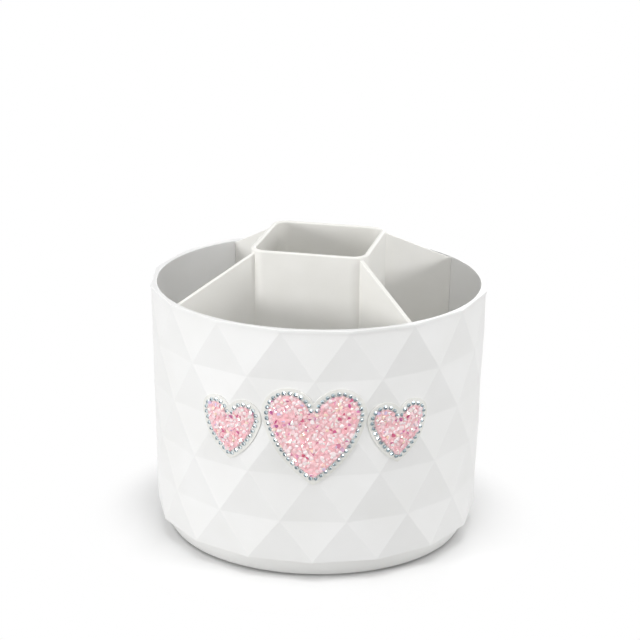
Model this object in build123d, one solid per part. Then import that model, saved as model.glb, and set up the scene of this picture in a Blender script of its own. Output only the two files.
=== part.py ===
from build123d import *
import math
import os

# Fits and working allowances, in millimetres
overrun = 1.0                     # how far a cutting shape runs past what it cuts
fit_clearance = 0.1               # between pieces that are pressed or dropped into a seat
bearing_clearance = 0.05          # radial play of the spindle in its bush
running_gap = 0.4                 # between flat faces that turn past each other
ball_clearance = 0.2              # round each ball, in the tracks and in the cage

# Faceted cup wall
rim_height = 107.2                # top of the lip above the desk
facet_count = 16                  # corners round the wall
facet_rows = 5                    # rows of triangles between lip and base
lowest_row_share = 0.875          # its height, of the height of each row above
facet_top_radius = 70.0           # to the corners of the top ring
facet_bottom_radius = 67.75       # to the corners of the bottom ring
shell_wall = 1.4                  # thinnest place, at the middle of a facet's long edge
lip_height = 1.2
lip_overhang = 0.3                # past the corners of the top ring
lip_rounding = 0.35
ledge_width = 5.0                 # inner ledge that carries the floor
ledge_thickness = 2.0

# Floor of the cup
floor_thickness = 2.5
floor_seat_depth = 0.8            # groove for the feet of the tower and the dividers
floor_boss_wall = 5.0             # round the spindle, under the floor

# Divider tower and dividers
tower_width = 49.0                # outside, across the flats
tower_wall = 2.0
tower_corner_radius = 7.0
tower_above_rim = 17.5
tower_edge_rounding = 0.6
tower_seat_flat = 0.15            # flat on each corner where a divider butts
tower_boss_radius = 3.4
tower_boss_bite = 0.65            # how far a screw boss is sunk into its corner
tower_boss_height = 12.0
divider_thickness = 1.8
divider_below_tower = 1.5         # top edge below the tower's top
divider_below_rim = 0.6           # top edge below the lip at the wall
divider_turn_share = 1.5          # first divider, in facet widths from the X axis

# Base dish
base_lift = 1.0                   # underside above the desk
base_height = 8.6
base_inset = 1.0                  # top of the skirt inside the flats of the bottom ring
base_taper = 3.95                 # how far the skirt draws in towards the desk
skirt_bow_depth = 0.25            # how far the skirt swells past a straight cone
base_wall = 2.0
hub_wall = 3.0
hub_side_gap = 1.0                # round the washer
hub_head_inset = 0.4              # screw head above the underside
rib_thickness = 1.6
rib_height = 2.4
inner_rib_count = 8
outer_rib_count = 16

# Spindle, bush and what keeps the cup on
spindle_radius = 4.0
spindle_head_radius = 7.0
spindle_head_thickness = 1.2
bush_wall = 2.0
washer_radius = 7.0
washer_thickness = 1.0
retaining_screw_radius = 1.5
retaining_screw_length = 6.0
retaining_head_radius = 3.0
retaining_head_height = 1.4

# Ball bearing
ball_diameter = 5.0
ball_count = 20
track_groove_depth = 1.2          # how deep the balls sit in each track
track_inner_gap = 3.6             # from the tower's screw heads
track_land = 0.6                  # beside the track's own screw heads
track_outer_land = 2.0            # outside the balls
cage_width = 7.6
cage_thickness = 1.6

# Small screws
track_screw_count = 4
track_screw_radius = 1.1
track_head_radius = 1.9
track_head_height = 1.2
screw_end_wall = 0.8              # left between a screw's end and the far face
tower_screw_radius = 1.3
tower_screw_length = 9.0
tower_head_radius = 2.4
tower_head_height = 1.3

# Rubber feet
foot_count = 4
foot_radius = 5.0
foot_edge = 6.0                   # from the edge of the underside
foot_pocket_depth = 0.6
foot_rounding = 0.4

# Crystal hearts on the front
centre_heart_width = 38.0
side_heart_width = 24.0
heart_gap = 2.1                   # between neighbouring films, along the wall
heart_height_share = 1.0          # of a heart's width
heart_centre_height = 63.0        # above the desk
film_margin = 1.0                 # film that shows outside the stones
film_thickness = 0.35
stone_width = 2.0                 # band of edge stones
stone_thickness = 0.8
crystal_thickness = 0.7
bond_line = 0.05                  # adhesive between the layers
heart_notch_share = 0.26
heart_lobe_shares = (0.27, 0.5)
heart_side_shares = (0.5, 0.14)
heart_flank_shares = (0.34, -0.19)
heart_tip_share = -0.5

# Heights and radii that follow from the sizes above
shell_bottom = base_height + running_gap
facet_top = rim_height - lip_height
facet_row_height = (facet_top - shell_bottom) / (facet_rows - 1 + lowest_row_share)
facet_angle = 360 / facet_count
floor_bottom = shell_bottom + ledge_thickness
floor_top = floor_bottom + floor_thickness
tower_top = rim_height + tower_above_rim
tower_foot = floor_top - floor_seat_depth
divider_angles = [facet_angle * divider_turn_share + 90 * turn for turn in range(4)]
plate_top = base_lift + base_wall
base_top_radius = facet_bottom_radius * math.cos(math.pi / facet_count) - base_inset
base_bottom_radius = base_top_radius - base_taper
foot_pitch_radius = base_bottom_radius - foot_edge - foot_radius
hub_recess_radius = washer_radius + hub_side_gap
hub_radius = hub_recess_radius + hub_wall
washer_bottom = base_lift + hub_head_inset + retaining_head_height
washer_top = washer_bottom + washer_thickness
hub_shoulder = washer_top + running_gap
tower_corner_reach = (tower_width / 2 - tower_corner_radius) * math.sqrt(2) + tower_corner_radius
tower_seat_radius = tower_corner_reach - tower_seat_flat
tower_boss_pitch = tower_corner_reach - tower_wall + tower_boss_bite - tower_boss_radius
ball_radius = ball_diameter / 2
ball_centre = (plate_top + floor_bottom) / 2
lower_track_top = ball_centre - ball_radius + track_groove_depth
upper_track_bottom = ball_centre + ball_radius - track_groove_depth
track_inner_radius = tower_boss_pitch + tower_head_radius + track_inner_gap
track_screw_pitch = track_inner_radius + track_land + track_head_radius
ball_pitch_radius = track_screw_pitch + track_head_radius + track_land + ball_radius
track_outer_radius = ball_pitch_radius + ball_radius + track_outer_land
heart_spacing = (centre_heart_width + side_heart_width) / 2 + 2 * film_margin + heart_gap


def corner_radius(height):
    # Distance of the facet corners from the axis at a height
    share = (height - shell_bottom) / (facet_top - shell_bottom)
    return facet_bottom_radius + (facet_top_radius - facet_bottom_radius) * share


def inner_radius(height):
    # The smooth inside of the cup wall, a cone with the same draft as the facets
    return corner_radius(height) * math.cos(math.pi / facet_count) - shell_wall


def ring_of(pitch_radius, count, start_angle=0):
    # Places evenly spaced on a circle about the axis
    places = [start_angle + 360 / count * turn for turn in range(count)]
    return [Rot(0, 0, angle) * Pos(pitch_radius, 0, 0) for angle in places]


def post(radius, bottom, top):
    return Pos(0, 0, bottom) * Cylinder(radius, top - bottom, align=(Align.CENTER, Align.CENTER, Align.MIN))


def tube(outer, inner, bottom, top):
    return post(outer, bottom, top) - post(inner, bottom - overrun, top + overrun)


def facet_corner(row, step, growth):
    # Rows below the lip have their corners half a facet apart, and odd rows have one at the front
    height = facet_top - facet_row_height * row if row < facet_rows else shell_bottom
    angle = math.radians(facet_angle * (step + (row + 1) % 2 / 2) - 90)
    radius = corner_radius(height) + growth
    return (radius * math.cos(angle), radius * math.sin(angle), height)


def faceted_body(growth=0):
    # A closed drum whose side is rows of flat triangles
    triangles = []
    for row in range(facet_rows):
        for step in range(facet_count):
            ahead = step + (row + 1) % 2
            upper = [facet_corner(row, step, growth), facet_corner(row, step + 1, growth)]
            lower = [facet_corner(row + 1, ahead - 1, growth), facet_corner(row + 1, ahead, growth)]
            triangles.append([upper[0], lower[0], lower[1]])
            triangles.append([upper[0], lower[1], upper[1]])
    ends = [[facet_corner(row, step, growth) for step in range(facet_count)] for row in (0, facet_rows)]
    faces = [Face(Wire.make_polygon(points)) for points in triangles + ends]
    return Solid(Shell(faces))


def make_lip():
    # Narrow band that caps the wall and follows its corners
    corners = [facet_corner(0, step, lip_overhang) for step in range(facet_count)]
    band = extrude(Face(Wire.make_polygon(corners)), lip_height, dir=(0, 0, 1))
    return fillet(band.edges().group_by(Axis.Z)[-1], lip_rounding)


def make_outer_shell():
    cone_bottom = shell_bottom - overrun
    cone_top = rim_height + overrun
    hollow = Pos(0, 0, (cone_bottom + cone_top) / 2) * Cone(
        inner_radius(cone_bottom), inner_radius(cone_top), cone_top - cone_bottom
    )
    wall = faceted_body() + make_lip() - hollow
    ledge_outer = inner_radius(shell_bottom) + shell_wall / 2
    ledge = tube(ledge_outer, inner_radius(shell_bottom) - ledge_width, shell_bottom, floor_bottom)
    return wall + ledge


def tower_outline(growth=0):
    # Rounded square with its corners towards the dividers
    width = tower_width + 2 * growth
    square = RectangleRounded(width, width, tower_corner_radius + growth)
    return Rot(0, 0, divider_angles[0] - 45) * square


def tower_bosses():
    return corner_places(tower_boss_pitch)


def make_centre_tower():
    section = tower_outline() - tower_outline(-tower_wall)
    tower = Pos(0, 0, tower_foot) * extrude(section, tower_top - tower_foot)
    tower = fillet(tower.edges().group_by(Axis.Z)[-1], tower_edge_rounding)
    for place in tower_bosses():
        tower += place * post(tower_boss_radius, floor_top, floor_top + tower_boss_height)
    for place in tower_bosses():
        hole_end = floor_top + tower_screw_length - floor_thickness + fit_clearance
        tower -= place * post(tower_screw_radius + fit_clearance, floor_top - overrun, hole_end)
    return tower - tower_seats()


def tower_seats():
    # A flat on each corner, as high as the divider that butts against it
    height = tower_top - divider_below_tower - tower_foot
    seat = Box(overrun, tower_corner_radius, height, align=(Align.MIN, Align.CENTER, Align.MIN))
    return [place * Pos(0, 0, tower_foot) * seat for place in corner_places(tower_seat_radius)]


def corner_places(pitch_radius):
    return ring_of(pitch_radius, len(divider_angles), divider_angles[0])


def make_divider(angle):
    # Flat vane from the tower's corner to the wall, with a top edge that rises inwards
    wall_top = rim_height - divider_below_rim
    outline = Polygon(
        (tower_seat_radius, tower_foot),
        (inner_radius(tower_foot) - fit_clearance, tower_foot),
        (inner_radius(wall_top) - fit_clearance, wall_top),
        (tower_seat_radius, tower_top - divider_below_tower),
        align=None,
    )
    return Rot(0, 0, angle) * extrude(Plane.XZ * outline, divider_thickness / 2, both=True)


def upper_screws():
    return ring_of(track_screw_pitch, track_screw_count, 180 / track_screw_count)


def lower_screws():
    return ring_of(track_screw_pitch, track_screw_count)


def make_cup_floor():
    floor = post(inner_radius(floor_bottom) - fit_clearance, floor_bottom, floor_top)
    floor += post(spindle_radius + floor_boss_wall, shell_bottom, floor_bottom)
    tower_groove = tower_outline(fit_clearance) - tower_outline(-tower_wall - fit_clearance)
    floor -= Pos(0, 0, tower_foot) * extrude(tower_groove, floor_seat_depth + overrun)
    for angle in divider_angles:
        slot_length = inner_radius(floor_top) - tower_seat_radius + overrun
        slot_centre = Pos(tower_seat_radius + slot_length / 2, 0, tower_foot)
        slot = Rectangle(slot_length, divider_thickness + 2 * fit_clearance)
        floor -= Rot(0, 0, angle) * slot_centre * extrude(slot, floor_seat_depth + overrun)
    floor -= post(spindle_radius + fit_clearance, shell_bottom - overrun, floor_top)
    head_seat = floor_top - spindle_head_thickness
    floor -= post(spindle_head_radius + fit_clearance, head_seat, floor_top + overrun)
    for place in tower_bosses():
        floor -= place * post(tower_screw_radius + fit_clearance, floor_bottom - overrun, floor_top + overrun)
    for place in upper_screws():
        hole_end = floor_top - screw_end_wall
        floor -= place * post(track_screw_radius + fit_clearance, floor_bottom - overrun, hole_end)
    return floor


def make_spindle():
    pin = post(spindle_radius, washer_top, floor_top)
    pin += post(spindle_head_radius, floor_top - spindle_head_thickness, floor_top)
    thread_end = washer_bottom + retaining_screw_length + fit_clearance
    return pin - post(retaining_screw_radius + fit_clearance, washer_top - overrun, thread_end)


def make_retaining_washer():
    hole = retaining_screw_radius + fit_clearance
    return tube(washer_radius, hole, washer_bottom, washer_top)


def screw(shank_radius, length, head_radius, head_height):
    # Pan-head screw with its head below zero and its shank above
    shank = post(shank_radius, 0, length)
    head = post(head_radius, -head_height, 0)
    head = fillet(head.edges().group_by(Axis.Z)[0], head_height / 3)
    return shank + head


def make_retaining_screw():
    whole = screw(retaining_screw_radius, retaining_screw_length, retaining_head_radius, retaining_head_height)
    return Pos(0, 0, washer_bottom) * whole


def make_hub_bush():
    return tube(
        spindle_radius + bearing_clearance + bush_wall,
        spindle_radius + bearing_clearance,
        hub_shoulder,
        base_height,
    )


def make_base_dish():
    # Dish turned from one profile: flat underside, bowed skirt, hub in the middle
    outer_foot = (base_bottom_radius, base_lift)
    outer_top = (base_top_radius, base_height)
    inner_top = (base_top_radius - base_wall, base_height)
    inner_foot = (base_bottom_radius - base_wall, plate_top)
    outline = [
        Line((0, base_lift), outer_foot),
        SagittaArc(outer_foot, outer_top, -skirt_bow_depth),
        Line(outer_top, inner_top),
        SagittaArc(inner_top, inner_foot, skirt_bow_depth),
        Line(inner_foot, (0, plate_top)),
        Line((0, plate_top), (0, base_lift)),
    ]
    dish = revolve(Plane.XZ * make_face(outline), Axis.Z)
    dish += post(hub_radius, base_lift, base_height)
    dish += base_ribs()
    dish -= post(hub_recess_radius, base_lift - overrun, hub_shoulder)
    bush_seat = spindle_radius + bearing_clearance + bush_wall + fit_clearance
    dish -= post(bush_seat, hub_shoulder - overrun, base_height + overrun)
    for place in ring_of(foot_pitch_radius, foot_count, 180 / foot_count):
        pocket_top = base_lift + foot_pocket_depth
        dish -= place * post(foot_radius + fit_clearance, base_lift - overrun, pocket_top)
    for place in lower_screws():
        hole_end = base_lift + screw_end_wall
        dish -= place * post(track_screw_radius + fit_clearance, hole_end, plate_top + overrun)
    return dish


def base_ribs():
    # Radial stiffeners inside the dish, between hub and track and between track and skirt
    spans = [
        (inner_rib_count, hub_radius - rib_thickness, track_inner_radius - fit_clearance),
        (outer_rib_count, track_outer_radius + fit_clearance, base_bottom_radius),
    ]
    ribs = []
    for count, start, end in spans:
        rib = Pos((start + end) / 2, 0, plate_top + rib_height / 2) * Box(end - start, rib_thickness, rib_height)
        ribs += [place * rib for place in ring_of(0, count, 180 / count)]
    return ribs


def ball_path(radius):
    return Pos(0, 0, ball_centre) * Torus(ball_pitch_radius, radius)


def make_lower_track():
    track = tube(track_outer_radius, track_inner_radius, plate_top, lower_track_top)
    track -= ball_path(ball_radius + ball_clearance)
    for place in lower_screws():
        track -= place * post(track_screw_radius + fit_clearance, plate_top - overrun, lower_track_top)
        head_seat = lower_track_top - track_head_height
        track -= place * post(track_head_radius + fit_clearance, head_seat, lower_track_top + overrun)
    return track


def make_upper_track():
    track = tube(track_outer_radius, track_inner_radius, upper_track_bottom, floor_bottom)
    track -= ball_path(ball_radius + ball_clearance)
    for place in upper_screws():
        track -= place * post(track_screw_radius + fit_clearance, upper_track_bottom, floor_bottom + overrun)
        head_seat = upper_track_bottom + track_head_height
        track -= place * post(track_head_radius + fit_clearance, upper_track_bottom - overrun, head_seat)
    return track


def make_upper_track_screws():
    seat = upper_track_bottom + track_head_height
    length = floor_top - screw_end_wall - fit_clearance - seat
    one = Pos(0, 0, seat) * screw(track_screw_radius, length, track_head_radius, track_head_height)
    return Compound(children=[place * one for place in upper_screws()])


def make_lower_track_screws():
    seat = lower_track_top - track_head_height
    length = seat - base_lift - screw_end_wall - fit_clearance
    upright = screw(track_screw_radius, length, track_head_radius, track_head_height)
    one = Pos(0, 0, seat) * Rot(180, 0, 0) * upright
    return Compound(children=[place * one for place in lower_screws()])


def make_tower_screws():
    upright = screw(tower_screw_radius, tower_screw_length, tower_head_radius, tower_head_height)
    one = Pos(0, 0, floor_bottom) * upright
    return Compound(children=[place * one for place in tower_bosses()])


def make_ball_cage():
    inner = ball_pitch_radius - cage_width / 2
    outer = ball_pitch_radius + cage_width / 2
    bottom = ball_centre - cage_thickness / 2
    cage = tube(outer, inner, bottom, bottom + cage_thickness)
    for place in ring_of(ball_pitch_radius, ball_count):
        cage -= place * post(ball_radius + ball_clearance, bottom - overrun, bottom + cage_thickness + overrun)
    return cage


def make_bearing_balls():
    ball = Pos(0, 0, ball_centre) * Sphere(ball_radius)
    return Compound(children=[place * ball for place in ring_of(ball_pitch_radius, ball_count)])


def make_foot(place):
    foot = post(foot_radius, 0, base_lift + foot_pocket_depth)
    return place * fillet(foot.edges().group_by(Axis.Z)[0], foot_rounding)


def heart_outline(width):
    # Two lobes and two flanks, each a single arc
    height = width * heart_height_share
    notch = (0, height * heart_notch_share)
    tip = (0, height * heart_tip_share)
    lobe, side, flank = [
        (width * across, height * up)
        for across, up in (heart_lobe_shares, heart_side_shares, heart_flank_shares)
    ]
    half = [ThreePointArc(notch, lobe, side), ThreePointArc(side, flank, tip)]
    return make_face(half + [arc.mirror(Plane.YZ) for arc in half])


def heart_cutter(outline, angle):
    # The outline pushed straight out through the front of the wall
    front = Plane((0, 0, heart_centre_height), x_dir=(1, 0, 0), z_dir=(0, -1, 0))
    reach = max(facet_top_radius, facet_bottom_radius) + lip_overhang + overrun
    return Rot(0, 0, angle) * extrude(front * outline, reach)


def make_hearts():
    # Film, edge stones and crystals lie over the facets in layers and bend with them
    film_outer = bond_line + film_thickness
    stone_outer = film_outer + stone_thickness
    crystal_outer = film_outer + crystal_thickness
    film_layer = faceted_body(film_outer) - faceted_body(bond_line)
    stone_layer = faceted_body(stone_outer) - faceted_body(film_outer)
    crystal_layer = faceted_body(crystal_outer) - faceted_body(film_outer)
    turn = math.degrees(heart_spacing / corner_radius(heart_centre_height))
    hearts = {
        "left": (side_heart_width, -turn),
        "centre": (centre_heart_width, 0),
        "right": (side_heart_width, turn),
    }
    nodes = {}
    for side, (width, angle) in hearts.items():
        outline = heart_outline(width)
        band = outline - offset(outline, -stone_width)
        inside = offset(outline, -stone_width - bond_line)
        nodes["heart_film_" + side] = heart_cutter(offset(outline, film_margin), angle) & film_layer
        nodes["heart_stones_" + side] = heart_cutter(band, angle) & stone_layer
        nodes["heart_crystals_" + side] = heart_cutter(inside, angle) & crystal_layer
    return nodes


def make_nodes():
    nodes = {
        "base_dish": make_base_dish(),
        "hub_bush": make_hub_bush(),
        "lower_track": make_lower_track(),
        "lower_track_screws": make_lower_track_screws(),
        "ball_cage": make_ball_cage(),
        "bearing_balls": make_bearing_balls(),
        "outer_shell": make_outer_shell(),
        "cup_floor": make_cup_floor(),
        "centre_tower": make_centre_tower(),
        "upper_track": make_upper_track(),
        "upper_track_screws": make_upper_track_screws(),
        "tower_screws": make_tower_screws(),
        "spindle": make_spindle(),
        "retaining_washer": make_retaining_washer(),
        "retaining_screw": make_retaining_screw(),
    }
    for number, place in enumerate(ring_of(foot_pitch_radius, foot_count, 180 / foot_count), 1):
        nodes[f"foot_{number}"] = make_foot(place)
    for number, angle in enumerate(divider_angles, 1):
        nodes[f"divider_{number}"] = make_divider(angle)
    nodes.update(make_hearts())
    return nodes


os.makedirs("parts", exist_ok=True)
for name, shape in make_nodes().items():
    export_step(shape, f"parts/{name}.step")
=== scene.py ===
import bpy
import bmesh
import math
import random
from mathutils import Matrix, Vector, geometry
from mathutils.bvhtree import BVHTree


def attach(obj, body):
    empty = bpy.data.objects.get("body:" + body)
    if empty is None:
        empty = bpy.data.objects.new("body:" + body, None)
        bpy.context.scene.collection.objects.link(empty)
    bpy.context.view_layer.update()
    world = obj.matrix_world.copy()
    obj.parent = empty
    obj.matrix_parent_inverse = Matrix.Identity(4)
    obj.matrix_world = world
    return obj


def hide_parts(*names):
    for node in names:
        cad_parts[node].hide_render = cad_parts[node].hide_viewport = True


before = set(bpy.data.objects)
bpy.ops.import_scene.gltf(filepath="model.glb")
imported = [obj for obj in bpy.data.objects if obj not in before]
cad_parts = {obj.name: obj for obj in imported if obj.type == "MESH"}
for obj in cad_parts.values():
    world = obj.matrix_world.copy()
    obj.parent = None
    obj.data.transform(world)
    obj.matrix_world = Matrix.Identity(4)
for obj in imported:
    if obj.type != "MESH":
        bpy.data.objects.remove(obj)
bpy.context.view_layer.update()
print("frame loaded:", len(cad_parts), "nodes")

mm = 0.001
heightSlack = 0.01  # millimetres that an edge may lie below the height it is picked by
seamGap = 0.001  # millimetres within which points of a lathed seam are merged
cornerAngle = 40  # degrees past which an edge is a corner to be rounded
crispAngle = 35  # degrees past which an edge shades as a crisp corner


# Small tools for nodes and materials

def linearColour(hexText):
    channels = [int(hexText[place:place + 2], 16) / 255 for place in (1, 3, 5)]
    return [c / 12.92 if c <= 0.04045 else ((c + 0.055) / 1.055) ** 2.4 for c in channels] + [1.0]


def addNode(tree, kind, settings=None, values=None, links=None):
    node = tree.nodes.new("ShaderNode" + kind)
    for name, value in (settings or {}).items():
        setattr(node, name, value)
    for name, value in (values or {}).items():
        node.inputs[name].default_value = value
    for name, source in (links or {}).items():
        tree.links.new(source, node.inputs[name])
    return node


def newSurface(name, values):
    material = bpy.data.materials.new(name)
    material.use_nodes = True
    tree = material.node_tree
    tree.nodes.clear()
    shader = addNode(tree, "BsdfPrincipled", values=values)
    addNode(tree, "OutputMaterial", links={"Surface": shader.outputs["BSDF"]})
    return material, tree, shader


def perMillimetre(size):
    return 1 / (size * mm)  # texture scale at which one noise cell is this many millimetres


def addRamp(tree, factor, stops):
    ramp = addNode(tree, "ValToRGB", links={"Fac": factor})
    while len(ramp.color_ramp.elements) < len(stops):
        ramp.color_ramp.elements.new(1.0)
    for element, (position, hexText) in zip(ramp.color_ramp.elements, stops):
        element.position = position
        element.color = linearColour(hexText)
    return ramp.outputs["Color"]


def colourByAttribute(tree, shader, name, stops):
    attribute = addNode(tree, "Attribute", settings={"attribute_name": name})
    tree.links.new(addRamp(tree, attribute.outputs["Fac"], stops), shader.inputs["Base Color"])


def addMould(tree, shader, look):
    # soft drift of colour, and the mould's grain, which is drawn coarser than it is so that it shows
    place = addNode(tree, "TexCoord").outputs["Object"]
    drift = addNode(tree, "TexNoise", values={"Scale": perMillimetre(look["drift"]), "Detail": 2.0},
                    links={"Vector": place})
    grain = addNode(tree, "TexNoise", values={"Scale": perMillimetre(look["grain"]), "Detail": 3.0},
                    links={"Vector": place})
    colour = addRamp(tree, drift.outputs["Fac"], [(0.3, look["dark"]), (0.7, look["light"])])
    gloss = addNode(tree, "MapRange", values={"To Min": look["smooth"], "To Max": look["rough"]},
                    links={"Value": grain.outputs["Fac"]})
    bump = addNode(tree, "Bump", values={"Strength": look["bump"], "Distance": look["depth"] * mm},
                   links={"Height": grain.outputs["Fac"]})
    tree.links.new(colour, shader.inputs["Base Color"])
    tree.links.new(gloss.outputs["Result"], shader.inputs["Roughness"])
    tree.links.new(bump.outputs["Normal"], shader.inputs["Normal"])


# Materials: drift, grain and depth are in millimetres

def mouldedPlastic(name, look):
    material, tree, shader = newSurface(name, {"IOR": look["ior"]})
    addMould(tree, shader, look)
    return material


# Moulded polystyrene: an even satin white that keeps the facets apart by light alone
shellLook = {"light": "#F5F5F5", "dark": "#F1F1F0", "ior": 1.59, "drift": 24.0, "grain": 0.7,
             "smooth": 0.42, "rough": 0.52, "bump": 0.12, "depth": 0.03}
shellPlastic = mouldedPlastic("mouldedPolystyreneShell", shellLook)

# Moulded polypropylene: a little warmer and duller than the shell
insertLook = {"light": "#F4F3EF", "dark": "#EFEEE9", "ior": 1.49, "drift": 18.0, "grain": 0.6,
              "smooth": 0.46, "rough": 0.58, "bump": 0.12, "depth": 0.03}
insertPlastic = mouldedPlastic("mouldedPolypropyleneInsert", insertLook)

# Same polystyrene as the shell, with the coarser grain of a foot moulding
baseLook = {"light": "#F5F5F4", "dark": "#F1F1F0", "ior": 1.59, "drift": 20.0, "grain": 0.9,
            "smooth": 0.4, "rough": 0.54, "bump": 0.16, "depth": 0.04}
basePlastic = mouldedPlastic("mouldedPolystyreneBase", baseLook)

# Natural acetal: waxy, slightly yellow white of bearing parts
acetalLook = {"light": "#EDEBE2", "dark": "#E4E2D8", "ior": 1.48, "drift": 12.0, "grain": 0.5,
              "smooth": 0.3, "rough": 0.42, "bump": 0.1, "depth": 0.02}
acetal = mouldedPlastic("naturalAcetalMoulded", acetalLook)

# Moulded rubber: dead matt grey with a dusty bloom
rubberLook = {"light": "#6A6A6C", "dark": "#515153", "ior": 1.52, "drift": 3.0, "grain": 0.4,
              "smooth": 0.72, "rough": 0.88, "bump": 0.35, "depth": 0.06}
footRubber = mouldedPlastic("mouldedRubberFoot", rubberLook)

# Hot-fix polyester film: milky white, glossy, a little rippled
filmLook = {"light": "#F6F5F1", "dark": "#ECEBE6", "ior": 1.57, "drift": 4.0, "grain": 1.2,
            "smooth": 0.16, "rough": 0.3, "bump": 0.2, "depth": 0.05}
filmSurface = mouldedPlastic("hotFixPolyesterFilm", filmLook)


def platedSteel(name, look):
    material, tree, shader = newSurface(name, {"Metallic": 1.0})
    addMould(tree, shader, look)
    return material


# Zinc plate: bright grey with a faint cloudy passivation
zincLook = {"light": "#C9CCD0", "dark": "#B4B8BD", "drift": 2.0, "grain": 0.3,
            "smooth": 0.24, "rough": 0.42, "bump": 0.1, "depth": 0.01}
zincSteel = platedSteel("zincPlatedSteel", zincLook)

# Ground and polished bearing steel: near mirror
ballLook = {"light": "#D6D8DB", "dark": "#CBCDD1", "drift": 2.0, "grain": 0.3,
            "smooth": 0.06, "rough": 0.12, "bump": 0.03, "depth": 0.005}
ballSteel = platedSteel("polishedBearingSteel", ballLook)


def foiledStone():
    # Foil-backed acrylic rhinestone: metallic facets, slate to white, with painted highlight and shade
    # sides
    material, tree, shader = newSurface("foilBackedAcrylicStone", {
        "Metallic": 0.85, "Roughness": 0.1, "Coat Weight": 1.0, "Coat Roughness": 0.03})
    colourByAttribute(tree, shader, "facetToneAndPaintedLight", [
        (0.0, "#62727A"), (0.3, "#8A9CA3"), (0.6, "#C9D7DB"), (0.85, "#F2F9FA"), (1.0, "#FFFFFF")])
    return material


def crushedAcrylic():
    # Crushed pearl acrylic: wet-looking pink, with painted white glints and peach, magenta, red and lilac
    # chips
    material, tree, shader = newSurface("crushedPearlAcrylic", {
        "Roughness": 0.12, "IOR": 1.49, "Coat Weight": 1.0, "Coat Roughness": 0.04,
        "Thin Film Thickness": 420.0, "Thin Film IOR": 1.4})
    colourByAttribute(tree, shader, "crystalTint", [
        (0.0, "#FFBBC6"), (0.3, "#FFCFD7"), (0.6, "#FFE0E6"), (0.8, "#FFF1F4"), (0.86, "#FFFFFF"),
        (0.92, "#FFE0C8"), (0.942, "#F2A0C4"), (0.962, "#C458A0"), (0.981, "#D44E72"), (1.0, "#E4D4FA")])
    return material


stoneSurface = foiledStone()
crystalSurface = crushedAcrylic()
print("materials ready:", len(bpy.data.materials))


# Small tools for meshes

def sharpEdges(bm, least):
    return [edge for edge in bm.edges
            if len(edge.link_faces) == 2 and edge.calc_face_angle(0) > math.radians(least)]


def isAbove(edge, height):
    return min(vert.co.z for vert in edge.verts) > (height - heightSlack) * mm


def newVerts(made):
    return [item for item in made["geom"] if isinstance(item, bmesh.types.BMVert)]


def roundEdges(bm, edges, width, segments):
    bmesh.ops.bevel(bm, geom=edges, offset=width * mm, offset_type="OFFSET", segments=segments,
                    profile=0.5, affect="EDGES", clamp_overlap=True, material=-1)


def drawOut(bm, edges):
    # a new ring of edges joined to the old one, to be moved by the caller
    made = bmesh.ops.extrude_edge_only(bm, edges=edges)
    ring = newVerts(made)
    edges = [item for item in made["geom"]
             if isinstance(item, bmesh.types.BMEdge) and all(vert in ring for vert in item.verts)]
    return ring, edges


def latheInto(bm, outline, steps, closed=True):
    # outline is (radius, height) in millimetres; an open outline starts and ends on the axis
    verts = [bm.verts.new((radius * mm, 0, height * mm)) for radius, height in outline]
    ends = verts[1:] + verts[:1] if closed else verts[1:]
    edges = [bm.edges.new(pair) for pair in zip(verts, ends)]
    bmesh.ops.spin(bm, geom=verts + edges, cent=(0, 0, 0), axis=(0, 0, 1), angle=math.tau,
                   steps=steps, use_merge=True)
    bmesh.ops.remove_doubles(bm, verts=bm.verts[:], dist=seamGap * mm)
    bmesh.ops.recalc_face_normals(bm, faces=bm.faces[:])


def addPiece(name, bm, material, body, node, smooth=True):
    for edge in sharpEdges(bm, crispAngle):
        edge.smooth = False  # true corners stay crisp, roundings shade smoothly
    mesh = bpy.data.meshes.new(name)
    bm.to_mesh(mesh)
    bm.free()
    for polygon in mesh.polygons:
        polygon.use_smooth = smooth
    mesh.materials.append(material)
    piece = bpy.data.objects.new(name, mesh)
    bpy.context.scene.collection.objects.link(piece)
    if smooth:
        normals = piece.modifiers.new("evenNormals", "WEIGHTED_NORMAL")
        normals.keep_sharp = True
    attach(piece, body)
    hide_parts(node)


# Faceted cup wall, in millimetres as all pieces are
wall = {"count": 16, "rows": 5, "lowestRowShare": 0.875, "topRadius": 70.0, "bottomRadius": 67.75,
        "top": 106.0, "bottom": 9.0, "thinnest": 1.4, "edgeRounding": 0.18, "edgeSegments": 2, "skin": 0.6}


def cornerRadius(height):
    share = (height - wall["bottom"]) / (wall["top"] - wall["bottom"])
    return wall["bottomRadius"] + (wall["topRadius"] - wall["bottomRadius"]) * share


def flatRadius(height):
    return cornerRadius(height) * math.cos(math.pi / wall["count"])  # middle of a facet's long edge


def innerRadius(height):
    return flatRadius(height) - wall["thinnest"]


def ringOfCorners(bm, radius, height):
    # corners of the top row, half a step off the front
    place = Matrix.Translation((0, 0, height * mm)) @ Matrix.Rotation(math.pi / wall["count"], 4, "Z")
    bmesh.ops.create_circle(bm, segments=wall["count"], radius=radius * mm, matrix=place)
    return bm.edges[:]


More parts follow.
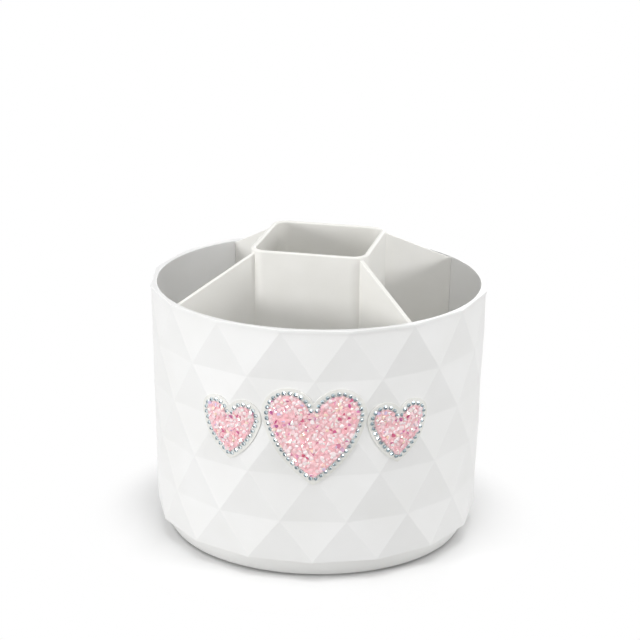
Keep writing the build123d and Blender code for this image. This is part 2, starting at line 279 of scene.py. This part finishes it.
def facetSkin():
    # one ring of corners, drawn down row by row with half a step of turn each time
    bm = bmesh.new()
    halfStep = math.pi / wall["count"]
    edges = ringOfCorners(bm, wall["topRadius"], wall["top"])
    rowHeight = (wall["top"] - wall["bottom"]) / (wall["rows"] - 1 + wall["lowestRowShare"])
    heights = [wall["top"] - rowHeight * row for row in range(wall["rows"])] + [wall["bottom"]]
    for height, lower in zip(heights, heights[1:]):
        ring, edges = drawOut(bm, edges)
        shrink = cornerRadius(lower) / cornerRadius(height)
        bmesh.ops.translate(bm, verts=ring, vec=(0, 0, (lower - height) * mm))
        bmesh.ops.rotate(bm, verts=ring, cent=(0, 0, 0), matrix=Matrix.Rotation(halfStep, 3, "Z"))
        bmesh.ops.scale(bm, verts=ring, vec=(shrink, shrink, 1))
    bmesh.ops.triangulate(bm, faces=bm.faces[:], quad_method="SHORT_EDGE", ngon_method="BEAUTY")
    bmesh.ops.recalc_face_normals(bm, faces=bm.faces[:])
    bm.faces.ensure_lookup_table()
    if bm.faces[0].normal.dot(bm.faces[0].calc_center_median() * Vector((1, 1, 0))) < 0:
        bmesh.ops.reverse_faces(bm, faces=bm.faces[:])  # an open skin may come out facing the axis
    bm.normal_update()
    return bm


def makeFacetedWall():
    bm = facetSkin()
    inner = [edge for edge in bm.edges if len(edge.link_faces) == 2]
    roundEdges(bm, inner, wall["edgeRounding"], wall["edgeSegments"])
    bmesh.ops.solidify(bm, geom=bm.faces[:], thickness=wall["skin"] * mm)
    bmesh.ops.recalc_face_normals(bm, faces=bm.faces[:])
    addPiece("facetedWall", bm, shellPlastic, "cup", "outer_shell", smooth=False)


lip = {"overhang": 0.3, "top": 107.2, "cuts": 11, "rounding": 0.32, "segments": 3}


def makeLip():
    # narrow band of sixteen flats that caps the wall, round on the inside
    bm = bmesh.new()
    edges = ringOfCorners(bm, wall["topRadius"] + lip["overhang"], lip["top"])
    bmesh.ops.subdivide_edges(bm, edges=edges, cuts=lip["cuts"])
    ring, _ = drawOut(bm, bm.edges[:])
    for vert in ring:
        vert.co.xy = vert.co.xy.normalized() * innerRadius(lip["top"]) * mm
    sunk = bmesh.ops.extrude_face_region(bm, geom=bm.faces[:], use_keep_orig=True)
    bmesh.ops.translate(bm, verts=newVerts(sunk), vec=(0, 0, (wall["top"] - lip["top"]) * mm))
    bmesh.ops.recalc_face_normals(bm, faces=bm.faces[:])
    crest = [edge for edge in sharpEdges(bm, cornerAngle) if isAbove(edge, lip["top"])]
    roundEdges(bm, crest, lip["rounding"], lip["segments"])
    addPiece("rimBand", bm, shellPlastic, "cup", "outer_shell")


liner = {"behind": 0.2, "steps": 160, "ledgeWidth": 5.0, "ledgeTop": 11.0}


def makeLiner():
    # smooth inside of the wall, with the ledge that carries the floor
    bm = bmesh.new()
    ledgeRadius = innerRadius(wall["bottom"]) - liner["ledgeWidth"]
    latheInto(bm, [
        (ledgeRadius, wall["bottom"]),
        (ledgeRadius, liner["ledgeTop"]),
        (innerRadius(liner["ledgeTop"]), liner["ledgeTop"]),
        (innerRadius(wall["top"]), wall["top"]),
        (flatRadius(wall["top"]) - liner["behind"], wall["top"]),
        (flatRadius(wall["bottom"]) - liner["behind"], wall["bottom"]),
    ], liner["steps"])
    addPiece("wallLiner", bm, shellPlastic, "cup", "outer_shell")


makeFacetedWall()
makeLip()
makeLiner()
print("cup wall done")


# Centre tower and the four dividers that meet it; turns are in degrees
tower = {"width": 49.0, "wall": 2.0, "corner": 7.0, "cornerSegments": 10, "foot": 12.7, "top": 124.7,
         "rounding": 0.75, "segments": 3, "floor": 13.5}
boss = {"count": 4, "radius": 3.4, "pitch": 27.0, "top": 25.5, "segments": 32}
divider = {"count": 4, "thickness": 1.8, "turn": 33.75, "belowTower": 1.5, "belowRim": 0.6,
           "rounding": 0.35, "segments": 3, "wallGap": 0.1, "seatFlat": 0.15}


def addBosses(bm, turn):
    depth = (boss["top"] - tower["floor"]) * mm
    middle = Matrix.Translation((boss["pitch"] * mm, 0, tower["floor"] * mm + depth / 2))
    for number in range(boss["count"]):
        spot = Matrix.Rotation(turn + number * math.tau / boss["count"], 4, "Z") @ middle
        bmesh.ops.create_cone(bm, segments=boss["segments"], cap_ends=True, radius1=boss["radius"] * mm,
                              radius2=boss["radius"] * mm, depth=depth, matrix=spot)


def makeTower():
    # rounded square tube whose corners point at the dividers
    bm = bmesh.new()
    turn = math.radians(divider["turn"])
    place = Matrix.Translation((0, 0, tower["foot"] * mm)) @ Matrix.Rotation(turn - math.pi / 4, 4, "Z")
    bmesh.ops.create_grid(bm, x_segments=1, y_segments=1, size=tower["width"] / 2 * mm, matrix=place)
    bmesh.ops.bevel(bm, geom=bm.verts[:], offset=tower["corner"] * mm, offset_type="OFFSET",
                    segments=tower["cornerSegments"], profile=0.5, affect="VERTICES", material=-1)
    middle = bm.faces[:]
    rings = bmesh.ops.inset_individual(bm, faces=middle, thickness=tower["wall"] * mm, use_even_offset=True)
    bmesh.ops.delete(bm, geom=middle, context="FACES")
    risen = bmesh.ops.extrude_face_region(bm, geom=rings["faces"], use_keep_orig=True)
    bmesh.ops.translate(bm, verts=newVerts(risen), vec=(0, 0, (tower["top"] - tower["foot"]) * mm))
    bmesh.ops.recalc_face_normals(bm, faces=bm.faces[:])
    rim = [edge for edge in sharpEdges(bm, cornerAngle) if isAbove(edge, tower["top"])]
    roundEdges(bm, rim, tower["rounding"], tower["segments"])
    addBosses(bm, turn)
    addPiece("centreTower", bm, insertPlastic, "cup", "centre_tower")


def makeDivider(number):
    # upright plate from the tower's corner to the wall, its top edge falling to the rim
    bm = bmesh.new()
    cornerMiddle = tower["width"] / 2 - tower["corner"]
    seat = cornerMiddle * math.sqrt(2) + tower["corner"] - divider["seatFlat"]
    wallTop = lip["top"] - divider["belowRim"]
    corners = [
        (seat, tower["foot"]),
        (innerRadius(tower["foot"]) - divider["wallGap"], tower["foot"]),
        (innerRadius(wallTop) - divider["wallGap"], wallTop),
        (seat, tower["top"] - divider["belowTower"]),
    ]
    thickness = divider["thickness"] * mm
    verts = [bm.verts.new((radius * mm, -thickness / 2, height * mm)) for radius, height in corners]
    side = bm.faces.new(verts)
    grown = bmesh.ops.extrude_face_region(bm, geom=[side], use_keep_orig=True)
    bmesh.ops.translate(bm, verts=newVerts(grown), vec=(0, thickness, 0))
    bmesh.ops.recalc_face_normals(bm, faces=bm.faces[:])
    crest = [edge for edge in bm.edges
             if isAbove(edge, wallTop) and edge.verts[0].co.x != edge.verts[1].co.x]
    roundEdges(bm, crest, divider["rounding"], divider["segments"])
    turn = math.radians(divider["turn"] + 360 / divider["count"] * number)
    bmesh.ops.rotate(bm, verts=bm.verts[:], cent=(0, 0, 0), matrix=Matrix.Rotation(turn, 3, "Z"))
    addPiece("divider%d" % (number + 1), bm, insertPlastic, "cup",
             "divider_%d" % (number + 1))


makeTower()
for dividerNumber in range(divider["count"]):
    makeDivider(dividerNumber)
print("tower and dividers done")


# Base dish and its feet
base = {"lift": 1.0, "top": 8.6, "topRadius": 65.45, "bottomRadius": 61.5, "bow": 0.25, "bowSteps": 10,
        "wall": 2.0, "hubRadius": 11.0, "recessRadius": 8.0, "shoulder": 4.2, "bushSeat": 6.15,
        "steps": 160, "rounding": 0.5, "segments": 3, "rimSlack": 0.1}
foot = {"count": 4, "turn": 45, "radius": 5.0, "pitch": 50.5, "height": 1.6, "rounding": 0.45,
        "segments": 3, "dish": 0.25, "dishRadius": 3.1, "dishSlope": 0.5, "steps": 64}


def bowedLine(start, end):
    # points of a shallow arc that swells to the right of the line from start to end
    start, end = Vector(start), Vector(end)
    along = end - start
    across = Vector((along.y, -along.x)).normalized()
    shares = [step / base["bowSteps"] for step in range(base["bowSteps"] + 1)]
    return [tuple(start + along * share + across * base["bow"] * 4 * share * (1 - share))
            for share in shares]


def makeBase():
    bm = bmesh.new()
    plate = base["lift"] + base["wall"]
    skirt = bowedLine((base["bottomRadius"], base["lift"]), (base["topRadius"], base["top"]))
    back = bowedLine((base["bottomRadius"] - base["wall"], plate),
                     (base["topRadius"] - base["wall"], base["top"]))
    hub = [
        (base["hubRadius"], plate),
        (base["hubRadius"], base["top"]),
        (base["bushSeat"], base["top"]),
        (base["bushSeat"], base["shoulder"]),
        (base["recessRadius"], base["shoulder"]),
        (base["recessRadius"], base["lift"]),
    ]
    latheInto(bm, skirt + back[::-1] + hub, base["steps"])
    rimFrom = (base["bottomRadius"] - base["rimSlack"]) * mm
    rim = [edge for edge in sharpEdges(bm, cornerAngle) if edge.verts[0].co.xy.length > rimFrom]
    roundEdges(bm, rim, base["rounding"], base["segments"])
    addPiece("baseDish", bm, basePlastic, "base", "base_dish")


def makeFoot(number):
    # short disc, dished below so that its edge stands on the desk
    bm = bmesh.new()
    latheInto(bm, [
        (0, foot["dish"]),
        (foot["dishRadius"], foot["dish"]),
        (foot["dishRadius"] + foot["dishSlope"], 0),
        (foot["radius"], 0),
        (foot["radius"], foot["height"]),
        (0, foot["height"]),
    ], foot["steps"], closed=False)
    roundEdges(bm, sharpEdges(bm, cornerAngle), foot["rounding"], foot["segments"])
    angle = math.radians(foot["turn"] + 360 / foot["count"] * number)
    place = Vector((math.cos(angle), math.sin(angle), 0)) * foot["pitch"] * mm
    bmesh.ops.translate(bm, verts=bm.verts[:], vec=place)
    addPiece("rubberFoot%d" % (number + 1), bm, footRubber, "base", "foot_%d" % (number + 1))


makeBase()
for footNumber in range(foot["count"]):
    makeFoot(footNumber)
print("base and feet done")


# Crystal hearts; the points of the outline are shares of a heart's width
heart = {"centreWidth": 38.0, "sideWidth": 24.0, "gap": 2.1, "margin": 1.0, "centreHeight": 63.0,
         "notch": 0.26, "lobe": (0.27, 0.5), "side": (0.5, 0.14), "flank": (0.34, -0.19), "tip": -0.5,
         "arcPoints": 24, "mitreLimit": 0.5, "foldLimit": 0.97, "film": 0.35, "bond": 0.05, "filmRings": 12,
         "castFrom": 200.0}

wallShape = facetSkin()
wallTree = BVHTree.FromBMesh(wallShape)
wallShape.free()


def arcThrough(first, middle, last, count):
    # points of the circle through three places, from the first to the last
    ax, ay = first
    bx, by = middle
    cx, cy = last
    fourAreas = 2 * (ax * (by - cy) + bx * (cy - ay) + cx * (ay - by))
    aSquare, bSquare, cSquare = ax * ax + ay * ay, bx * bx + by * by, cx * cx + cy * cy
    centre = Vector(((aSquare * (by - cy) + bSquare * (cy - ay) + cSquare * (ay - by)) / fourAreas,
                     (aSquare * (cx - bx) + bSquare * (ax - cx) + cSquare * (bx - ax)) / fourAreas))
    arms = [Vector(point) - centre for point in (first, middle, last)]
    angles = [math.atan2(arm.y, arm.x) for arm in arms]
    sweep = (angles[2] - angles[0]) % math.tau
    if (angles[1] - angles[0]) % math.tau > sweep:
        sweep -= math.tau
    radius = arms[0].length
    turns = [angles[0] + sweep * step / count for step in range(count + 1)]
    return [centre + Vector((math.cos(turn), math.sin(turn))) * radius for turn in turns]


def heartOutline(width):
    notch, tip = (0, heart["notch"] * width), (0, heart["tip"] * width)
    lobe, side, flank = [(across * width, up * width) for across, up in
                         (heart["lobe"], heart["side"], heart["flank"])]
    right = arcThrough(notch, lobe, side, heart["arcPoints"])
    right += arcThrough(side, flank, tip, heart["arcPoints"])[1:]
    left = [Vector((-point.x, point.y)) for point in right[1:-1]][::-1]
    return right + left  # clockwise, from the notch


def legsOf(points):
    return list(zip(points, points[1:] + points[:1]))


def legDistance(point, start, end):
    nearest, share = geometry.intersect_point_line(point, start, end)
    if 0 < share < 1:
        return (nearest.to_2d() - point).length
    return min((point - start).length, (point - end).length)


def shiftOutline(points, distance):
    # moves each point across the outline, outwards if positive, and drops those that would fold over
    shifted = []
    for before, point, after in zip(points[-1:] + points[:-1], points, points[1:] + points[:1]):
        steps = [(point - before).normalized(), (after - point).normalized()]
        normals = [Vector((-step.y, step.x)) for step in steps]
        across = normals[0] + normals[1]
        moved = point + across * (distance / max(across.dot(normals[0]), heart["mitreLimit"]))
        clear = min(legDistance(moved, start, end) for start, end in legsOf(points))
        if clear > abs(distance) * heart["foldLimit"]:
            shifted.append(moved)
    return shifted


def walkOutline(points, pitch):
    # an even number of places, about a pitch apart, round a closed outline
    legs = legsOf(points)
    lengths = [(end - start).length for start, end in legs]
    count = 2 * round(sum(lengths) / pitch / 2)
    step = sum(lengths) / count
    places, travelled, target = [], 0, 0
    for (start, end), length in zip(legs, lengths):
        while target <= travelled + length and len(places) < count:
            places.append(start.lerp(end, (target - travelled) / length))
            target += step
        travelled += length
    return places


def isInside(point, outline):
    crossings = 0
    for start, end in legsOf(outline):
        if (start.y > point.y) != (end.y > point.y):
            crossings += point.x < start.x + (end.x - start.x) * (point.y - start.y) / (end.y - start.y)
    return crossings % 2 == 1


def onWall(point, turn):
    # the place on the facets straight behind a point of the flat design
    rotate = Matrix.Rotation(turn, 3, "Z")
    height = heart["centreHeight"] + point.y
    origin = rotate @ Vector((point.x * mm, -heart["castFrom"] * mm, height * mm))
    place, normal, _, _ = wallTree.ray_cast(origin, rotate @ Vector((0, 1, 0)))
    return place, normal


def standOn(normal):
    return normal.to_track_quat("Z", "Y").to_matrix().to_4x4()


def drapedSheet(outline, turn, lower, upper):
    # rings of the outline drawn in towards the middle, made a flat slab, then laid on the facets
    bm = bmesh.new()
    verts = [bm.verts.new((point.x, point.y, 0)) for point in outline]
    edges = [bm.edges.new(pair) for pair in legsOf(verts)]
    for ring in range(heart["filmRings"], 1, -1):
        loop, edges = drawOut(bm, edges)
        shrink = (ring - 1) / ring
        bmesh.ops.scale(bm, verts=loop, vec=(shrink, shrink, 1))
    bmesh.ops.contextual_create(bm, geom=edges)
    risen = bmesh.ops.extrude_face_region(bm, geom=bm.faces[:], use_keep_orig=True)
    bmesh.ops.translate(bm, verts=newVerts(risen), vec=(0, 0, 1))
    for vert in bm.verts:
        place, normal = onWall(vert.co.xy, turn)
        lift = lower + (upper - lower) * vert.co.z  # z is still 0 below and 1 above
        vert.co = place + normal * lift * mm
    bmesh.ops.recalc_face_normals(bm, faces=bm.faces[:])
    return bm


def makeFilm(side, width, turn):
    outline = shiftOutline(heartOutline(width), heart["margin"])
    bm = drapedSheet(outline, turn, heart["bond"], heart["bond"] + heart["film"])
    addPiece("heartFilm" + side.title(), bm, filmSurface, "cup", "heart_film_" + side)


# Tones run from 0, slate, to 1, white; crowns get a painted highlight on one side, painted shade on the
# other
stone = {"radius": 0.92, "sides": 8, "height": 0.75, "girdleShare": 0.3, "girdleTaper": 0.96,
         "crownWidth": 0.42, "pitch": 2.35, "inset": 1.0, "girdleTone": 0.5, "tableTone": 0.1,
         "paintedShadeCrown": 0.05, "paintedHighlightCrown": 0.95, "spread": 0.12, "paintedHighlightSide": (1.0, 0.0, 0.35), "seed": 11}


def makeEdgeStones(side, width, turn):
    # each stone is a girdle, a crown of eight facets and a flat table
    draw = random.Random(stone["seed"])
    bm = bmesh.new()
    tone = bm.faces.layers.float.new("facetToneAndPaintedLight")
    row = shiftOutline(heartOutline(width), -stone["inset"])
    girdle = stone["height"] * stone["girdleShare"]
    lift = heart["bond"] + heart["film"] + girdle / 2
    # painted light: the side of every stone whose crown facets are painted bright
    bright = Matrix.Rotation(turn, 3, "Z") @ Vector(stone["paintedHighlightSide"]).normalized()
    for point in walkOutline(row, stone["pitch"]):
        place, normal = onWall(point, turn)
        stand = Matrix.Translation(place + normal * lift * mm) @ standOn(normal)
        spin = Matrix.Rotation(draw.uniform(0, math.tau), 4, "Z")
        made = bmesh.ops.create_cone(bm, segments=stone["sides"], cap_ends=True, depth=girdle * mm,
                                     radius1=stone["radius"] * mm, matrix=stand @ spin,
                                     radius2=stone["radius"] * mm * stone["girdleTaper"])
        faces = list(dict.fromkeys(face for vert in made["verts"] for face in vert.link_faces))
        table = max(faces, key=lambda face: face.calc_center_median().dot(normal))
        crown = bmesh.ops.inset_individual(bm, faces=[table], thickness=stone["crownWidth"] * mm,
                                           depth=(stone["height"] - girdle) * mm)["faces"]
        for face in faces:
            face[tone] = stone["girdleTone"]
        for face in crown:
            # crown facets turned towards that side are painted lighter, those turned away painted darker
            highlightShare = (face.calc_center_median() - place).normalized().dot(bright) / 2 + 0.5
            face[tone] = stone["paintedShadeCrown"] + (stone["paintedHighlightCrown"] - stone["paintedShadeCrown"]) * highlightShare
        table[tone] = stone["tableTone"]
        for face in faces + crown:
            face[tone] += draw.uniform(-1, 1) * stone["spread"]
    addPiece("heartStones" + side.title(), bm, stoneSurface, "cup", "heart_stones_" + side,
             smooth=False)


# Tints run from 0 to 1 along the colours of crushedAcrylic; the top of the range holds painted white glints
# and coloured chips
crystal = {"inset": 2.0, "edgeGap": 0.35, "pad": 0.25, "padTint": 0.2, "spacing": 1.35, "least": 0.75,
           "most": 1.25, "rise": 0.28, "flatten": 0.45, "jitter": 0.3, "glintsAndChipsFrom": 0.8, "seed": 5,
           "tries": 9000}


def scatterPlaces(outline, draw):
    # throws points into the outline and keeps those that stand clear of the rest
    reach = max(max(abs(point.x), abs(point.y)) for point in outline)
    kept = []
    for _ in range(crystal["tries"]):
        point = Vector((draw.uniform(-reach, reach), draw.uniform(-reach, reach)))
        if isInside(point, outline) and all((point - other).length > crystal["spacing"] for other in kept):
            kept.append(point)
    return kept


def makeCrystals(side, width, turn):
    # a thin pad that follows the facets, covered with tumbled chips
    draw = random.Random(crystal["seed"])
    outline = shiftOutline(heartOutline(width), -crystal["inset"])
    lower = heart["bond"] + heart["film"]
    bm = drapedSheet(outline, turn, lower, lower + crystal["pad"])
    tint = bm.faces.layers.float.new("crystalTint")
    for face in bm.faces:
        face[tint] = crystal["padTint"]
    inner = shiftOutline(heartOutline(width), -crystal["inset"] - crystal["edgeGap"])
    flat = Matrix.Diagonal((1, 1, crystal["flatten"], 1))
    for point in scatterPlaces(inner, draw):
        place, normal = onWall(point, turn)
        size = draw.uniform(crystal["least"], crystal["most"])
        stand = Matrix.Translation(place + normal * (lower + crystal["rise"]) * mm) @ standOn(normal)
        tumble = Matrix.Rotation(draw.uniform(0, math.tau), 4, Vector([draw.gauss(0, 1) for _ in range(3)]))
        made = bmesh.ops.create_icosphere(bm, subdivisions=1, radius=size * mm,
                                          matrix=stand @ flat @ tumble)
        shade = draw.uniform(0, crystal["glintsAndChipsFrom"])
        for vert in made["verts"]:
            vert.co += Vector([draw.uniform(-1, 1) for _ in range(3)]) * crystal["jitter"] * size * mm
        for face in {face for vert in made["verts"] for face in vert.link_faces}:
            face[tint] = shade
        # one corner's tint from the top of the range: painted white glints at its low end, coloured chips
        # above
        cornerTint = draw.uniform(crystal["glintsAndChipsFrom"], 1)
        for face in draw.choice(made["verts"]).link_faces:
            face[tint] = cornerTint  # one corner of each crystal catches another colour
    bm.normal_update()
    addPiece("heartCrystals" + side.title(), bm, crystalSurface, "cup",
             "heart_crystals_" + side, smooth=False)


sideOffset = (heart["centreWidth"] + heart["sideWidth"]) / 2 + 2 * heart["margin"] + heart["gap"]
sideTurn = sideOffset / cornerRadius(heart["centreHeight"])
for heartSide, heartWidth, heartTurn in (("left", heart["sideWidth"], -sideTurn),
                                         ("centre", heart["centreWidth"], 0.0),
                                         ("right", heart["sideWidth"], sideTurn)):
    makeFilm(heartSide, heartWidth, heartTurn)
    makeEdgeStones(heartSide, heartWidth, heartTurn)
    makeCrystals(heartSide, heartWidth, heartTurn)
print("hearts done")


# CAD nodes that keep their own shape
carried = {
    "cup_floor": insertPlastic, "upper_track": acetal, "lower_track": acetal, "hub_bush": acetal,
    "ball_cage": acetal, "bearing_balls": ballSteel, "spindle": zincSteel, "retaining_washer": zincSteel,
    "retaining_screw": zincSteel, "upper_track_screws": zincSteel, "lower_track_screws": zincSteel,
    "tower_screws": zincSteel,
}
for nodeName, nodeMaterial in carried.items():
    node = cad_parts[nodeName]
    node.data.materials.clear()
    node.data.materials.append(nodeMaterial)
print("carried nodes dressed:", len(carried))


# Floor and room light, in metres
studio = {"floorSize": 12.0, "floorColour": "#FAFAFA", "bounceColour": "#BEBEBC", "clearFrom": 0.072,
          "clearTo": 0.1, "ambient": 0.46}


def rayIsSeen(tree):
    # 1 for camera, mirror and see-through rays, 0 for light that bounces
    path = addNode(tree, "LightPath")
    seen = addNode(tree, "Math", settings={"operation": "ADD"}, links={
        0: path.outputs["Is Camera Ray"], 1: path.outputs["Is Glossy Ray"]})
    return addNode(tree, "Math", settings={"operation": "ADD", "use_clamp": True}, links={
        0: seen.outputs["Value"], 1: path.outputs["Is Transmission Ray"]}).outputs["Value"]


def mattPaper():
    # Matt white paper: takes the shadow near the object and clears to plain white further out
    material, tree, shader = newSurface("mattPaper", {"Roughness": 0.9, "Specular IOR Level": 0.1})
    seenOnly = rayIsSeen(tree)
    paper = addNode(tree, "MixRGB", links={"Fac": seenOnly}, values={
        "Color1": linearColour(studio["bounceColour"]), "Color2": linearColour(studio["floorColour"])})
    tree.links.new(paper.outputs["Color"], shader.inputs["Base Color"])
    place = addNode(tree, "TexCoord").outputs["Object"]
    distance = addNode(tree, "VectorMath", settings={"operation": "LENGTH"}, links={0: place})
    clear = addNode(tree, "MapRange", settings={"interpolation_type": "SMOOTHSTEP"},
                    values={"From Min": studio["clearFrom"], "From Max": studio["clearTo"]},
                    links={"Value": distance.outputs["Value"]})
    seen = addNode(tree, "Math", settings={"operation": "MULTIPLY"}, links={
        0: clear.outputs["Result"], 1: seenOnly})
    white = addNode(tree, "Emission", values={"Strength": 1.0})
    mixed = addNode(tree, "MixShader", links={
        0: seen.outputs["Value"], 1: shader.outputs["BSDF"], 2: white.outputs["Emission"]})
    output = next(item for item in tree.nodes if item.type == "OUTPUT_MATERIAL")
    tree.links.new(mixed.outputs["Shader"], output.inputs["Surface"])
    return material


def makeFloor():
    bm = bmesh.new()
    bmesh.ops.create_grid(bm, x_segments=1, y_segments=1, size=studio["floorSize"] / 2)
    mesh = bpy.data.meshes.new("paperSweep")
    bm.to_mesh(mesh)
    bm.free()
    mesh.materials.append(mattPaper())
    floor = bpy.data.objects.new("paperSweep", mesh)
    bpy.context.scene.collection.objects.link(floor)


def makeWorld():
    # plain white where it is seen, softer where it lights the object
    world = bpy.data.worlds.new("softRoom")
    world.use_nodes = True
    tree = world.node_tree
    tree.nodes.clear()
    soft = addNode(tree, "Background", values={"Color": (1, 1, 1, 1), "Strength": studio["ambient"]})
    white = addNode(tree, "Background", values={"Color": (1, 1, 1, 1), "Strength": 1.0})
    mixed = addNode(tree, "MixShader", links={
        0: rayIsSeen(tree), 1: soft.outputs["Background"], 2: white.outputs["Background"]})
    addNode(tree, "OutputWorld", links={"Surface": mixed.outputs["Shader"]})
    bpy.context.scene.world = world


# Lamps, in watts and metres: low ones light the wall, the high one parts the facets
lampTarget = (0, 0, 0.06)
lamps = {"leftLamp": {"power": 9.9, "place": (-1.25, -0.81, 0.27), "size": 0.4},
         "rightLamp": {"power": 6.6, "place": (1.41, -0.46, 0.27), "size": 0.4},
         "highLamp": {"power": 9.4, "place": (0.07, -0.41, 1.5), "size": 0.8},
         "backLamp": {"power": 5.5, "place": (0.26, 1.46, 0.27), "size": 0.4}}


def makeLamp(name, settings):
    lamp = bpy.data.lights.new(name, "AREA")
    lamp.shape = "DISK"
    lamp.size = settings["size"]
    lamp.energy = settings["power"]
    lampObject = bpy.data.objects.new(name, lamp)
    lampObject.location = settings["place"]
    aim = Vector(lampTarget) - Vector(settings["place"])
    lampObject.rotation_euler = aim.to_track_quat("-Z", "Y").to_euler()
    bpy.context.scene.collection.objects.link(lampObject)


# Camera, in millimetres and degrees
view = {"place": (14.43, -844.26, 363.26), "turn": (72.014, -0.736, 1.172), "lens": 119.28, "sensor": 36.0,
        "clipStart": 10.0}


def makeCamera():
    camera = bpy.data.objects.new("photoView", bpy.data.cameras.new("photoView"))
    camera.data.lens = view["lens"]
    camera.data.sensor_width = view["sensor"]
    camera.data.clip_start = view["clipStart"] * mm
    camera.location = Vector(view["place"]) * mm
    camera.rotation_euler = [math.radians(angle) for angle in view["turn"]]
    bpy.context.scene.collection.objects.link(camera)
    bpy.context.scene.camera = camera


makeFloor()
makeWorld()
for lampName, lampSettings in lamps.items():
    makeLamp(lampName, lampSettings)
makeCamera()
bpy.context.scene.view_settings.view_transform = "Standard"
print("studio ready")
